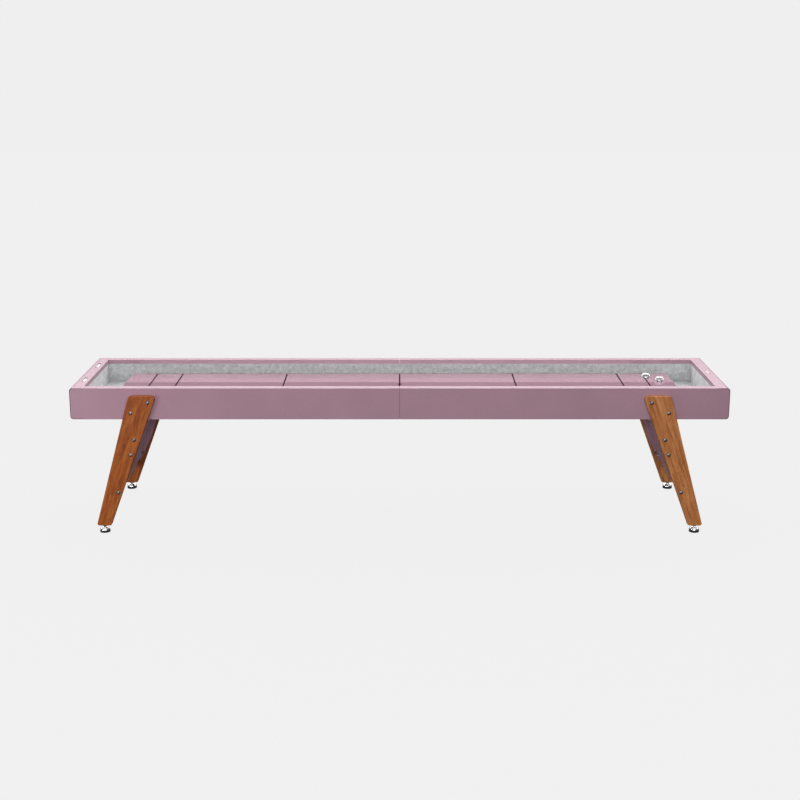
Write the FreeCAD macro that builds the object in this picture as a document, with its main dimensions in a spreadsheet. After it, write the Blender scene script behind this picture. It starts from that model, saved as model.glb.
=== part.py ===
import os
import re

import FreeCAD
import Part
import Sketcher

# A twelve-foot shuffleboard table. X runs along the table, Z is up, the front is -Y.
# The origin is on the floor under the middle of the table. All sizes are in millimetres.

doc = FreeCAD.newDocument("ShuffleboardTable")
sheet = doc.addObject("Spreadsheet::Sheet", "Sizes")

sizes = {
    # cabinet
    "half_len": 1830, "seam": 0.7, "half_wid": 391, "rim_z": 830, "base_z": 652, "plate": 3,
    "side_rail": 51, "end_rail": 73, "lip_drop": 25, "end_bend": 18, "base_flange": 40, "fold": 2.5,
    "end_gap": 2, "floor_gap": 1, "floor_end_gap": 2, "edge_round": 2,
    # felt-lined gutter
    "gutter_z": 698, "felt": 4, "tray": 2,
    # playing board
    "board_half_len": 1600, "board_half_wid": 268, "board_z": 760, "board_thick": 14, "core_inset": 8,
    "line_wide": 8, "line_deep": 1.5, "foul_x": 674, "two_x": 1298, "three_x": 1450, "spot_rad": 13,
    # frame under the gutter tray
    "beam": 35, "beam_wall": 3, "beam_y": 230, "rung_start": 60, "rung_step": 400, "joint_plate": 6,
    "joint_bolt_rad": 5, "joint_bolt_y": 80, "joint_bolt_end": 2, "joint_slack": 0.3, "joint_nut_rad": 9,
    "joint_nut_high": 8,
    # legs
    "leg_thick": 30, "leg_top_z": 790, "leg_foot_z": 39, "leg_top_in": 1347, "leg_top_out": 1499,
    "leg_foot_in": 1628, "leg_foot_out": 1709, "leg_top_round": 20, "leg_foot_round": 11, "leg_edge": 2.5,
    # cross panel between a pair of legs, and its angle brackets
    "web": 3, "web_top_x": 1462, "web_slope": 0.324, "web_foot_z": 150, "web_flange": 34,
    "bracket_top_z": 640, "bracket_bend_z": 330, "bracket_foot_z": 186, "bracket_wide": 36, "bracket_tip": 13,
    "bracket_leaf": 42, "web_gap": 0.4, "web_bolt_y": 370, "web_bolt_high": 444, "web_bolt_low": 222,
    "cut_in": 12, "cut_out": 14,
    # bolts
    "hole_rad": 4.3, "panel_hole_rad": 5.8, "bolt_rad": 4, "bolt_end": 2, "panel_bolt_end": 3, "head_rad": 11,
    "head_high": 6, "head_seat": 1, "head_round": 2.5, "nut_rad": 7, "nut_high": 6.5, "washer_rad": 9,
    "washer": 1.6, "mount_plate": 6, "mount_in": 1372, "mount_out": 1512, "mount_low": 672, "mount_high": 776,
    "cabinet_bolt_in": 1394, "cabinet_bolt_in_z": 753, "cabinet_bolt_out": 1490, "cabinet_bolt_out_z": 694,
    "leg_bolt_top": 1477, "leg_bolt_top_z": 541, "leg_bolt_mid": 1500, "leg_bolt_mid_z": 454,
    "leg_bolt_low": 1579, "leg_bolt_low_z": 234,
    # levelling feet
    "foot_x": 1666, "pad_rad": 29, "pad_high": 9.5, "cup_rad": 27.5, "cup_wall_z": 13, "cup_top_z": 28,
    "cup_neck": 13, "collar_rad": 9.5,
    "collar_z": 36.2, "stem_rad": 6, "stem_top_z": 86, "insert_rad": 9, "insert_top_z": 78, "insert_lip": 14,
    "insert_lip_z": 36.5, "fit_gap": 0.05, "stem_slack": 1, "stem_room": 30, "pad_round": 1.5,
    # score rollers in the left end rail, blank plate on the right one
    "roller_x": 1787, "roller_y": 185, "roller_half": 34, "roller_rad": 17, "roller_round": 1,
    "roller_z": 812.4, "axle_rad": 3,
    "slot_half": 50, "slot_wide": 19, "ear_gap": 1.5, "ear": 3, "bridge_z": 790, "ear_half": 14,
    "badge_half": 35, "badge_rad": 6, "badge": 0.8,
    # weights (pucks)
    "puck_rad": 26.5, "puck_float": 0.15, "puck_base": 13, "puck_cap_rad": 21, "puck_cap": 8, "puck_round": 3,
    "puck_cap_round": 2, "puck_near_x": 1525, "puck_near_y": 86, "puck_far_x": 1460, "puck_far_y": 176,
    # how far a cutting tool starts outside what it cuts
    "overrun": 20,
}
for row, (word, size) in enumerate(sizes.items(), start=1):
    sheet.set(f"A{row}", word)
    sheet.set(f"B{row}", str(size))
    sheet.setAlias(f"B{row}", word)
doc.recompute()

nodes = []


# ---- helpers ----------------------------------------------------------------------------------
def bind(text):
    """The text with each size's name pointing at its cell."""
    return re.sub(r"[a-z_]+", lambda found: "Sizes." + found[0] if found[0] in sizes else found[0], str(text))


def number(text):
    """The value of an expression of sizes."""
    result = sheet.evalExpression(bind(text))
    return float(getattr(result, "Value", result))


def keep(thing, label):
    """Mark an object as a finished piece of the table."""
    thing.Label = label
    nodes.append(thing)
    return thing


def side(sign, near, far):
    """The span from near to far on the side that sign gives, low end first."""
    if sign > 0:
        return (f"{near}", f"{far}")
    return (f"-({far})", f"-({near})")


def block(name, x, y, z):
    """A box between pairs of expressions."""
    made = doc.addObject("Part::Box", name)
    for length, base, (low, high) in (("Length", "x", x), ("Width", "y", y), ("Height", "z", z)):
        made.setExpression(length, bind(f"({high}) - ({low})"))
        made.setExpression(f"Placement.Base.{base}", bind(low))
    return made


TURNS = {
    "X": FreeCAD.Rotation(FreeCAD.Vector(0, 1, 0), 90), "Y": FreeCAD.Rotation(FreeCAD.Vector(1, 0, 0), -90),
    "-Y": FreeCAD.Rotation(FreeCAD.Vector(1, 0, 0), 90), "Z": FreeCAD.Rotation(),
}


def place(made, at, axis):
    """Turn a primitive's own axis to point along axis, and bind its foot to three expressions."""
    made.Placement = FreeCAD.Placement(FreeCAD.Vector(), TURNS[axis])
    for base, text in zip("xyz", at):
        made.setExpression(f"Placement.Base.{base}", bind(text))
    return made


def rod(name, at, axis, radius, length):
    made = doc.addObject("Part::Cylinder", name)
    made.setExpression("Radius", bind(radius))
    made.setExpression("Height", bind(length))
    return place(made, at, axis)


def cone(name, at, axis, low_radius, high_radius, length):
    made = doc.addObject("Part::Cone", name)
    made.setExpression("Radius1", bind(low_radius))
    made.setExpression("Radius2", bind(high_radius))
    made.setExpression("Height", bind(length))
    return place(made, at, axis)


def hexagon(name, at, axis, radius, length):
    made = doc.addObject("Part::Prism", name)
    made.Polygon = 6
    made.setExpression("Circumradius", bind(radius))
    made.setExpression("Height", bind(length))
    return place(made, at, axis)


def join(name, *things):
    made = doc.addObject("Part::MultiFuse", name)
    made.Shapes = list(things)
    return made


def take(name, whole, *tools):
    made = doc.addObject("Part::Cut", name)
    made.Base = whole
    made.Tool = tools[0] if len(tools) == 1 else join(name + "_tools", *tools)
    return made


def group(name, things):
    made = doc.addObject("Part::Compound", name)
    made.Links = list(things)
    return made


def rounded(name, thing, radius, wanted):
    """Round the edges of a thing that wanted(edge) picks."""
    doc.recompute()
    made = doc.addObject("Part::Fillet", name)
    made.Base = thing
    size = number(radius)
    made.Edges = [(i, size, size) for i, edge in enumerate(thing.Shape.Edges, start=1) if wanted(edge)]
    return made


def sketch(body, name, role, level, points=(), circles=()):
    """A closed outline, or circles, on an origin plane of the body, raised to a level along its axis."""
    made = body.newObject("Sketcher::SketchObject", name)
    plane = [item for item in body.Origin.OriginFeatures if item.Role == role][0]
    made.AttachmentSupport = (plane, [""])
    made.MapMode = "FlatFace"
    flip = "-1" if role == "XZ_Plane" else "1"
    made.setExpression("AttachmentOffset.Base.z", bind(f"{flip} * ({level})"))
    origin = -1
    corners = [(number(u), number(v)) for u, v in points]
    for i, start in enumerate(corners):
        end = corners[(i + 1) % len(corners)]
        line = Part.LineSegment(FreeCAD.Vector(*start, 0), FreeCAD.Vector(*end, 0))
        made.addGeometry(line, False)
    for i in range(len(corners)):
        made.addConstraint(Sketcher.Constraint("Coincident", i, 2, (i + 1) % len(corners), 1))
    fixed = [(i, 1, *points[i]) for i in range(len(corners))]
    for u, v, radius in circles:
        middle = FreeCAD.Vector(number(u), number(v), 0)
        ring = made.addGeometry(Part.Circle(middle, FreeCAD.Vector(0, 0, 1), number(radius)), False)
        turn = made.addConstraint(Sketcher.Constraint("Radius", ring, number(radius)))
        made.setExpression(f"Constraints[{turn}]", bind(radius))
        fixed.append((ring, 3, u, v))
    for shape, point, u, v in fixed:
        for kind, axis, text in (("DistanceX", -2, u), ("DistanceY", -1, v)):
            if abs(number(text)) < 1e-9:
                made.addConstraint(Sketcher.Constraint("PointOnObject", shape, point, axis))
            else:
                held = Sketcher.Constraint(kind, origin, 1, shape, point, number(text))
                made.setExpression(f"Constraints[{made.addConstraint(held)}]", bind(text))
    return made


def pad(body, name, role, low, high, points=(), circles=()):
    """Fill an outline from low to high along the plane's axis."""
    outline = sketch(body, name + "_outline", role, low, points, circles)
    made = body.newObject("PartDesign::Pad", name)
    made.Profile = outline
    made.Reversed = role == "XZ_Plane"
    made.setExpression("Length", bind(f"({high}) - ({low})"))
    return made


def pocket(body, name, role, low, high, points=(), circles=()):
    """Clear an outline from low to high along the plane's axis, and check that it cut."""
    doc.recompute()
    before = body.Shape.Volume
    outline = sketch(body, name + "_outline", role, low, points, circles)
    made = body.newObject("PartDesign::Pocket", name)
    made.Profile = outline
    made.Reversed = role != "XZ_Plane"
    made.setExpression("Length", bind(f"({high}) - ({low})"))
    doc.recompute()
    if not body.Shape.Volume < before:
        raise ValueError(f"{body.Name}: {name} cuts nothing")
    return made


def soften(body, name, radius, wanted):
    """Round the edges of a body that wanted(edge) picks."""
    doc.recompute()
    found = [f"Edge{i}" for i, edge in enumerate(body.Shape.Edges, start=1) if wanted(edge)]
    if not found:
        raise ValueError(f"{body.Name}: {name} has no edges")
    whole = body.Tip
    made = body.newObject("PartDesign::Fillet", name)
    made.Base = (whole, found)
    made.setExpression("Radius", bind(radius))
    return made


def new_body(name):
    return keep(doc.addObject("PartDesign::Body", name), name)


def runs_along(axis, *spots):
    """A test for straight edges along an axis that pass within half a millimetre of one of the spots."""
    others = [i for i in range(3) if i != "XYZ".index(axis)]

    def wanted(edge):
        if len(edge.Vertexes) < 2 or edge.Curve.TypeId != "Part::GeomLine":
            return False
        one, two = edge.Vertexes[0].Point, edge.Vertexes[-1].Point
        if any(abs(one[i] - two[i]) > 0.01 for i in others):
            return False
        near = [tuple(number(text) for text in spot) for spot in spots]
        return any(all(abs(one[i] - spot[k]) < 0.5 for k, i in enumerate(others)) for spot in near)

    return wanted


# ---- places that several pieces share ---------------------------------------------------------
ENDS = {"left": -1, "right": 1}
SIDES = {"front": -1, "rear": 1}
lip_x = "half_len - end_rail"
lip_y = "half_wid - side_rail"
tray_x = f"{lip_x} + felt + tray"
tray_y = f"{lip_y} + felt + tray"
leg_out_y = "half_wid + leg_thick"
beam_top_z = "gutter_z - felt - tray"
cabinet_bolts = [(f"cabinet_bolt_{spot}", f"cabinet_bolt_{spot}_z") for spot in ("in", "out")]
bracket_bolts = [(f"leg_bolt_{spot}", f"leg_bolt_{spot}_z") for spot in ("top", "mid", "low")]


def web_x(level):
    """Where the cross panel's inner face stands at a height, measured from the middle of the table."""
    return f"(web_top_x + web_slope * (base_z - ({level})))"


def corners_of(points, sign):
    return [(f"{sign} * ({x})", z) for x, z in points]


# ---- cabinet shells ---------------------------------------------------------------------------
# Each long side is a flat plate with a folded top rail, a hanging lip and a bottom flange.
def side_panel(name, end, front):
    body = new_body(name)
    plate_y = side(front, "half_wid - plate", "half_wid")
    # the plate steps down inside the end sheet, which shows round it as a thin edge
    low, high, tip = "base_z + fold + end_gap", "rim_z - fold - end_gap", "half_len - fold - end_gap"
    outline = [("seam", "base_z"), (lip_x, "base_z"), (lip_x, low), (tip, low), (tip, high), (lip_x, high),
               (lip_x, "rim_z"), ("seam", "rim_z")]
    pad(body, "Plate", "XZ_Plane", *plate_y, corners_of(outline, end))
    soften(body, "PlateCorners", "end_bend - fold - end_gap",
           runs_along("Y", (f"{end} * ({tip})", high), (f"{end} * ({tip})", low)))
    rail = [("half_wid - plate", "rim_z - fold"), ("half_wid - plate", "rim_z"), (lip_y, "rim_z"),
            (lip_y, "rim_z - lip_drop"), (f"{lip_y} + fold", "rim_z - lip_drop"),
            (f"{lip_y} + fold", "rim_z - fold")]
    flange = [("half_wid - plate", "base_z"), ("half_wid - base_flange", "base_z"),
              ("half_wid - base_flange", "base_z + fold"), ("half_wid - plate", "base_z + fold")]
    along = side(end, "seam", lip_x)
    for title, outline in (("Rail", rail), ("Flange", flange)):
        pad(body, title, "YZ_Plane", *along, corners_of(outline, front))
    soften(body, "RailEdges", "edge_round",
           runs_along("X", (f"{front} * half_wid", "rim_z"), (f"{front} * ({lip_y})", "rim_z")))
    holes = [(f"{end} * {x}", z, "hole_rad") for x, z in cabinet_bolts]
    pocket(body, "LegHoles", "XZ_Plane", *plate_y, circles=holes)


# Each end is one sheet bent over the top, round the face and under the bottom, as wide as the cabinet.
def end_panel(name, end):
    body = new_body(name)
    outer = [("half_len", "rim_z"), ("half_len", "base_z"), ("half_len - end_rail", "base_z"),
             ("half_len - end_rail", "base_z + fold"), ("half_len - fold", "base_z + fold"),
             ("half_len - fold", "rim_z - fold"), (f"{lip_x} + fold", "rim_z - fold"),
             (f"{lip_x} + fold", "rim_z - lip_drop"), (lip_x, "rim_z - lip_drop"), (lip_x, "rim_z")]
    pad(body, "Wrap", "XZ_Plane", "-half_wid", "half_wid", corners_of(outer, end))
    soften(body, "OuterBends", "end_bend",
           runs_along("Y", (f"{end} * half_len", "rim_z"), (f"{end} * half_len", "base_z")))
    soften(body, "InnerBends", "end_bend - fold",
           runs_along("Y", (f"{end} * (half_len - fold)", "rim_z - fold"),
                      (f"{end} * (half_len - fold)", "base_z + fold")))
    soften(body, "LipEdge", "edge_round", runs_along("Y", (f"{end} * ({lip_x})", "rim_z")))
    # the lip only spans the well; beyond it the side rails' ends butt against the sheet
    for side_name, where in SIDES.items():
        near_x, far_x = f"{end} * ({lip_x})", f"{end} * ({lip_x} + fold)"
        near_y, far_y = f"{where} * ({lip_y})", f"{where} * half_wid"
        pocket(body, f"LipCut_{side_name}", "XY_Plane", "rim_z - lip_drop", "rim_z - fold",
               [(near_x, near_y), (far_x, near_y), (far_x, far_y), (near_x, far_y)])
    if end < 0:
        for side_name, where in SIDES.items():
            low_x, high_x = "-roller_x - slot_wide / 2", "-roller_x + slot_wide / 2"
            low_y, high_y = f"{where} * roller_y - slot_half", f"{where} * roller_y + slot_half"
            pocket(body, f"Slot_{side_name}", "XY_Plane", "rim_z - 2 * fold", "rim_z",
                   [(low_x, low_y), (high_x, low_y), (high_x, high_y), (low_x, high_y)])


for end_name, end in ENDS.items():
    for side_name, front in SIDES.items():
        side_panel(f"{side_name}_panel_{end_name}", end, front)
    end_panel(f"end_panel_{end_name}", end)
    base = block(f"base_{end_name}", side(end, "0", "half_len - end_bend - floor_end_gap"),
                 ("-(half_wid - plate - floor_gap)", "half_wid - plate - floor_gap"),
                 ("base_z + fold", "base_z + fold + tray"))
    keep(base, f"bottom_panel_{end_name}")


# ---- gutter tray and its felt -----------------------------------------------------------------
def gutter_tray(end_name, end):
    """Sheet steel plates welded edge to edge: a floor, two long walls and an end stop."""
    floor_z, wall_z = (beam_top_z, f"{beam_top_z} + tray"), (f"{beam_top_z} + tray", "rim_z - lip_drop")
    across = (f"-({tray_y})", tray_y)
    keep(block(f"tray_floor_{end_name}", side(end, "0", tray_x), across, floor_z), f"gutter_floor_{end_name}")
    keep(block(f"tray_stop_{end_name}", side(end, f"{tray_x} - tray", tray_x), across, wall_z),
         f"gutter_stop_{end_name}")
    for side_name, front in SIDES.items():
        wall = block(f"tray_wall_{side_name}_{end_name}", side(end, "0", f"{tray_x} - tray"),
                     side(front, f"{tray_y} - tray", tray_y), wall_z)
        keep(wall, f"gutter_wall_{side_name}_{end_name}")


def felt_lining(name, end):
    """Felt glued all over the inside of one half of the tray."""
    out_x, out_y = f"{lip_x} + felt", f"{lip_y} + felt"
    low_z, top_z = "gutter_z - felt", "rim_z - lip_drop"
    shell = block(f"{name}_outer", side(end, "0", out_x), (f"-({out_y})", out_y), (low_z, top_z))
    room = block(f"{name}_room", side(end, "-overrun", f"{out_x} - felt"),
                 (f"-({out_y} - felt)", f"{out_y} - felt"), (f"{low_z} + felt", f"{top_z} + overrun"))
    return take(f"{name}_tub", shell, room)


for end_name, end in ENDS.items():
    gutter_tray(end_name, end)
    keep(felt_lining(f"felt_{end_name}", end), f"felt_lining_{end_name}")


# ---- playing board with inlaid lines ----------------------------------------------------------
line_places = ["0"] + [f"{end} * {x}" for end in ENDS.values() for x in ("foul_x", "two_x", "three_x")]


def line_strips(name, above):
    strips = [block(f"{name}_{i}", (f"{x} - line_wide / 2", f"{x} + line_wide / 2"),
                    ("-board_half_wid", "board_half_wid"), ("board_z - line_deep", f"board_z + {above}"))
              for i, x in enumerate(line_places)]
    spot = rod(f"{name}_spot", ("0", "0", "board_z - line_deep"), "Z", "spot_rad", f"line_deep + {above}")
    return join(f"{name}_middle", strips[0], spot), strips[1:]


for end_name, end in ENDS.items():
    slab = block(f"slab_{end_name}", side(end, "0", "board_half_len"), ("-board_half_wid", "board_half_wid"),
                 ("board_z - board_thick", "board_z"))
    middle, others = line_strips(f"groove_{end_name}", "overrun")
    keep(take(f"board_{end_name}", slab, middle, *others), f"playing_board_{end_name}")
    core = block(f"core_{end_name}", side(end, "0", "board_half_len - core_inset"),
                 ("-(board_half_wid - core_inset)", "board_half_wid - core_inset"),
                 ("gutter_z", "board_z - board_thick"))
    keep(core, f"board_core_{end_name}")
middle, others = line_strips("line", "0")
keep(group("lines", [middle] + others), "court_lines")


# ---- frame under the tray, bolted together at the middle --------------------------------------
def tube(name, x, y, z, along):
    """A square tube with open ends."""
    outer = block(f"{name}_outer", x, y, z)
    thin = [(f"{low} + beam_wall", f"{high} - beam_wall") for low, high in (x, y, z)]
    index = "XYZ".index(along)
    low, high = (x, y, z)[index]
    thin[index] = (f"({low}) - overrun", f"({high}) + overrun")
    return outer, block(f"{name}_inner", *thin)


beam_z = (f"{beam_top_z} - beam", beam_top_z)
joint_rows = (-2, -1, 1, 2)
rungs = 5
for end_name, end in ENDS.items():
    solids, hollows = [], []
    for side_name, where in SIDES.items():
        x = side(end, "joint_plate", tray_x)
        y = (f"{where} * beam_y - beam / 2", f"{where} * beam_y + beam / 2")
        outer, inner = tube(f"beam_{end_name}_{side_name}", x, y, beam_z, "X")
        solids.append(outer)
        hollows.append(inner)
    for i in range(rungs):
        start = f"rung_start + {i} * rung_step"
        x = side(end, start, f"{start} + beam")
        rung_span = ("-(half_wid - plate)", "half_wid - plate")
        outer, inner = tube(f"rung_{end_name}_{i}", x, rung_span, beam_z, "Y")
        solids.append(outer)
        hollows.append(inner)
    frame = take(f"ladder_{end_name}", join(f"ladder_{end_name}_solid", *solids), *hollows)
    keep(frame, f"underframe_{end_name}")
    plate = block(f"joint_{end_name}", side(end, "0", "joint_plate"),
                  ("-(beam_y + beam / 2)", "beam_y + beam / 2"), beam_z)
    holes = [rod(f"joint_hole_{end_name}_{i}", ("-overrun", f"{y} * joint_bolt_y", f"{beam_top_z} - beam / 2"),
                 "X", "joint_bolt_rad + joint_slack", "2 * overrun") for i, y in enumerate(joint_rows)]
    keep(take(f"joint_plate_{end_name}_cut", plate, *holes), f"joint_plate_{end_name}")

joint_bolts, joint_nuts = [], []
for i, y in enumerate(joint_rows):
    at = (f"{y} * joint_bolt_y", f"{beam_top_z} - beam / 2")
    head = hexagon(f"joint_head_{i}", ("-joint_plate - joint_nut_high", *at), "X", "joint_nut_rad",
                   "joint_nut_high")
    shank = rod(f"joint_shank_{i}", ("-joint_plate", *at), "X", "joint_bolt_rad",
                "2 * joint_plate + joint_nut_high + joint_bolt_end")
    joint_bolts.append(join(f"joint_bolt_{i}", head, shank))
    nut = hexagon(f"joint_nut_{i}", ("joint_plate", *at), "X", "joint_nut_rad", "joint_nut_high")
    bore = rod(f"joint_bore_{i}", ("0", *at), "X", "joint_bolt_rad", "joint_plate + joint_nut_high + overrun")
    joint_nuts.append(take(f"joint_nut_cut_{i}", nut, bore))
keep(group("joint_bolt_group", joint_bolts), "joint_bolts")
keep(group("joint_nut_group", joint_nuts), "joint_nuts")


# ---- legs -------------------------------------------------------------------------------------
def leg(name, end, front):
    body = new_body(name)
    y = side(front, "half_wid", leg_out_y)
    outline = [("leg_foot_in", "leg_foot_z"), ("leg_foot_out", "leg_foot_z"), ("leg_top_out", "leg_top_z"),
               ("leg_top_in", "leg_top_z")]
    pad(body, "Board", "XZ_Plane", *y, corners_of(outline, end))
    top = [(f"{end} * {x}", "leg_top_z") for x in ("leg_top_in", "leg_top_out")]
    foot = [(f"{end} * {x}", "leg_foot_z") for x in ("leg_foot_in", "leg_foot_out")]
    soften(body, "TopCorners", "leg_top_round", runs_along("Y", *top))
    soften(body, "FootCorners", "leg_foot_round", runs_along("Y", *foot))
    outer = number(f"{front} * ({leg_out_y})")
    soften(body, "OuterEdge", "leg_edge",
           lambda edge: edge.BoundBox.YLength < 0.01 and abs(edge.CenterOfMass.y - outer) < 0.01)
    holes = [(f"{end} * {x}", z, "hole_rad") for x, z in cabinet_bolts + bracket_bolts]
    pocket(body, "BoltHoles", "XZ_Plane", *y, circles=holes)
    middle = (f"{end} * foot_x", f"{front} * (half_wid + leg_thick / 2)")
    pocket(body, "InsertHole", "XY_Plane", "leg_foot_z", "insert_top_z", circles=[(*middle, "insert_rad")])
    pocket(body, "StemRoom", "XY_Plane", "insert_top_z", "insert_top_z + stem_room",
           circles=[(*middle, "stem_rad + stem_slack")])


# An angle bracket lies against the inner face of a leg and the inner face of the cross panel.
def leg_bracket(name, end, front):
    body = new_body(name)
    flange_y = side(front, "half_wid - web", "half_wid")
    top, bend, foot = "bracket_top_z", "bracket_bend_z", "bracket_foot_z"
    outline = [(web_x(top), top), (web_x(foot), foot), (f"{web_x(foot)} - bracket_tip", foot),
               (f"{web_x(bend)} - bracket_wide", bend), (f"{web_x(top)} - bracket_wide", top)]
    pad(body, "Flange", "XZ_Plane", *flange_y, corners_of(outline, end))
    leaf = [(web_x(top), top), (web_x(foot), foot), (f"{web_x(foot)} - web", foot),
            (f"{web_x(top)} - web", top)]
    leaf_y = side(front, "half_wid - bracket_leaf", "half_wid - web")
    pad(body, "Leaf", "XZ_Plane", *leaf_y, corners_of(leaf, end))
    pocket(body, "LegHoles", "XZ_Plane", *flange_y,
           circles=[(f"{end} * {x}", z, "hole_rad") for x, z in bracket_bolts])
    panel_holes(body, end, [front])


def panel_holes(body, end, fronts):
    """Bolt holes through the cross panel and the brackets that lie on it."""
    spots = [(f"{front} * web_bolt_y", z) for front in fronts for z in ("web_bolt_high", "web_bolt_low")]
    for i, (y, z) in enumerate(spots):
        x = side(end, f"{web_x(z)} - cut_in", f"{web_x(z)} + cut_out")
        pocket(body, f"PanelHole{i}", "YZ_Plane", *x, circles=[(y, z, "panel_hole_rad")])


# The cross panel is a sheet between the two legs, with a top flange that bolts under the cabinet.
def cross_panel(name, end):
    body = new_body(name)
    y = ("-(half_wid - web_gap)", "half_wid - web_gap")
    top, under, foot = "base_z", "base_z - web", "web_foot_z"
    outline = [(web_x(top), top), (web_x(foot), foot), (f"{web_x(foot)} + web", foot),
               (f"{web_x(under)} + web", under), (f"{web_x(top)} + web_flange", under),
               (f"{web_x(top)} + web_flange", top)]
    pad(body, "Sheet", "XZ_Plane", *y, corners_of(outline, end))
    panel_holes(body, end, SIDES.values())


for end_name, end in ENDS.items():
    cross_panel(f"cross_panel_{end_name}", end)
    for side_name, front in SIDES.items():
        leg(f"leg_{side_name}_{end_name}", end, front)
        leg_bracket(f"leg_bracket_{side_name}_{end_name}", end, front)
        plate_y = side(front, "half_wid - plate - mount_plate", "half_wid - plate")
        plate = block(f"mount_{side_name}_{end_name}", side(end, "mount_in", "mount_out"), plate_y,
                      ("mount_low", "mount_high"))
        start_y = f"{front} * (half_wid - overrun)"
        way = {-1: "-Y", 1: "Y"}[front]
        holes = [rod(f"mount_hole_{side_name}_{end_name}_{i}", (f"{end} * {x}", start_y, z), way, "hole_rad",
                     "2 * overrun") for i, (x, z) in enumerate(cabinet_bolts)]
        drilled = take(f"mount_cut_{side_name}_{end_name}", plate, *holes)
        keep(drilled, f"leg_mount_plate_{side_name}_{end_name}")


# ---- bolts, nuts and washers ------------------------------------------------------------------
def dome_head(name, at, axis):
    """A low round head whose flat side is at the given place."""
    made = doc.addObject("Part::Sphere", name)
    ball = "((head_rad * head_rad + head_high * head_high) / (2 * head_high))"
    made.setExpression("Radius", bind(ball))
    made.setExpression("Angle1", bind(f"asin(({ball} - head_high) / {ball})"))
    return place(made, at, axis)


leg_bolts, leg_nuts = [], []
for end_name, end in ENDS.items():
    for side_name, front in SIDES.items():
        way, back = {-1: ("-Y", "Y"), 1: ("Y", "-Y")}[front]
        for i, (x, z) in enumerate(cabinet_bolts + bracket_bolts):
            tag = f"{side_name}_{end_name}_{i}"
            deep = "half_wid - plate - mount_plate" if i < len(cabinet_bolts) else "half_wid - web"
            face = (f"{end} * {x}", f"{front} * ({leg_out_y})", z)
            head = rod(f"leg_head_seat_{tag}", face, way, "head_rad", "head_seat")
            dome = dome_head(f"leg_head_{tag}", face, way)
            ball_drop = "((head_rad * head_rad - head_high * head_high) / (2 * head_high))"
            dome.setExpression("Placement.Base.y", bind(f"{front} * ({leg_out_y} + head_seat - {ball_drop})"))
            shank = rod(f"leg_shank_{tag}", face, back, "bolt_rad",
                        f"leg_thick + half_wid - ({deep}) + washer + nut_high + bolt_end")
            leg_bolts.append(join(f"leg_bolt_{tag}", head, dome, shank))
            inner = (face[0], f"{front} * ({deep})", z)
            ring = rod(f"leg_washer_{tag}", inner, back, "washer_rad", "washer")
            inner = (face[0], f"{front} * ({deep} - washer)", z)
            nut = hexagon(f"leg_nut_{tag}", inner, back, "nut_rad", "nut_high")
            bore = rod(f"leg_bore_{tag}", face, back, "bolt_rad", "leg_thick + 3 * overrun")
            leg_nuts.append(take(f"leg_nut_cut_{tag}", join(f"leg_nut_solid_{tag}", ring, nut), bore))
keep(group("leg_bolt_group", leg_bolts), "leg_bolts")
keep(group("leg_nut_group", leg_nuts), "leg_nuts")

panel_bolts, panel_nuts = [], []
lean = "atan(web_slope)"
skin = f"web * cos({lean})"


def lay_across(made, end, front, level, start):
    """Set a primitive square to the leaning cross panel, start millimetres outside its inner face."""
    made.Placement = FreeCAD.Placement(FreeCAD.Vector(), FreeCAD.Rotation(FreeCAD.Vector(0, end, 0), 90))
    made.setExpression("Placement.Rotation.Angle", bind(f"90deg - {lean}"))
    made.setExpression("Placement.Base.x", bind(f"{end} * ({web_x(level)} + ({start}) * cos({lean}))"))
    made.setExpression("Placement.Base.y", bind(f"{front} * web_bolt_y"))
    made.setExpression("Placement.Base.z", bind(f"{level} + ({start}) * sin({lean})"))
    return made


for end_name, end in ENDS.items():
    for side_name, front in SIDES.items():
        for level in ("web_bolt_high", "web_bolt_low"):
            tag = f"{side_name}_{end_name}_{level}"
            spot = ("0", "0", "0")
            inner = f"-{skin} - washer - nut_high"
            head = rod(f"panel_head_{tag}", spot, "Z", "head_rad", "head_high")
            lay_across(head, end, front, level, skin)
            shank = rod(f"panel_shank_{tag}", spot, "Z", "bolt_rad", f"{skin} - ({inner}) + panel_bolt_end")
            lay_across(shank, end, front, level, f"{inner} - panel_bolt_end")
            outer_half = number(f"{web_x(level)} + web + head_high / 2")
            round_head = rounded(f"panel_round_{tag}", head, "head_round",
                                 lambda edge: edge.Closed and abs(edge.CenterOfMass.x) > outer_half)
            panel_bolts.append(join(f"panel_bolt_{tag}", round_head, shank))
            washer = rod(f"panel_washer_{tag}", spot, "Z", "washer_rad", "washer")
            lay_across(washer, end, front, level, f"-{skin} - washer")
            nut = hexagon(f"panel_nut_{tag}", spot, "Z", "nut_rad", "nut_high")
            lay_across(nut, end, front, level, inner)
            bore = rod(f"panel_bore_{tag}", spot, "Z", "bolt_rad", "4 * overrun")
            lay_across(bore, end, front, level, "-2 * overrun")
            panel_nuts.append(take(f"panel_nut_cut_{tag}", join(f"panel_nut_solid_{tag}", washer, nut), bore))
keep(group("panel_bolt_group", panel_bolts), "panel_bolts")
keep(group("panel_nut_group", panel_nuts), "panel_nuts")


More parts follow.
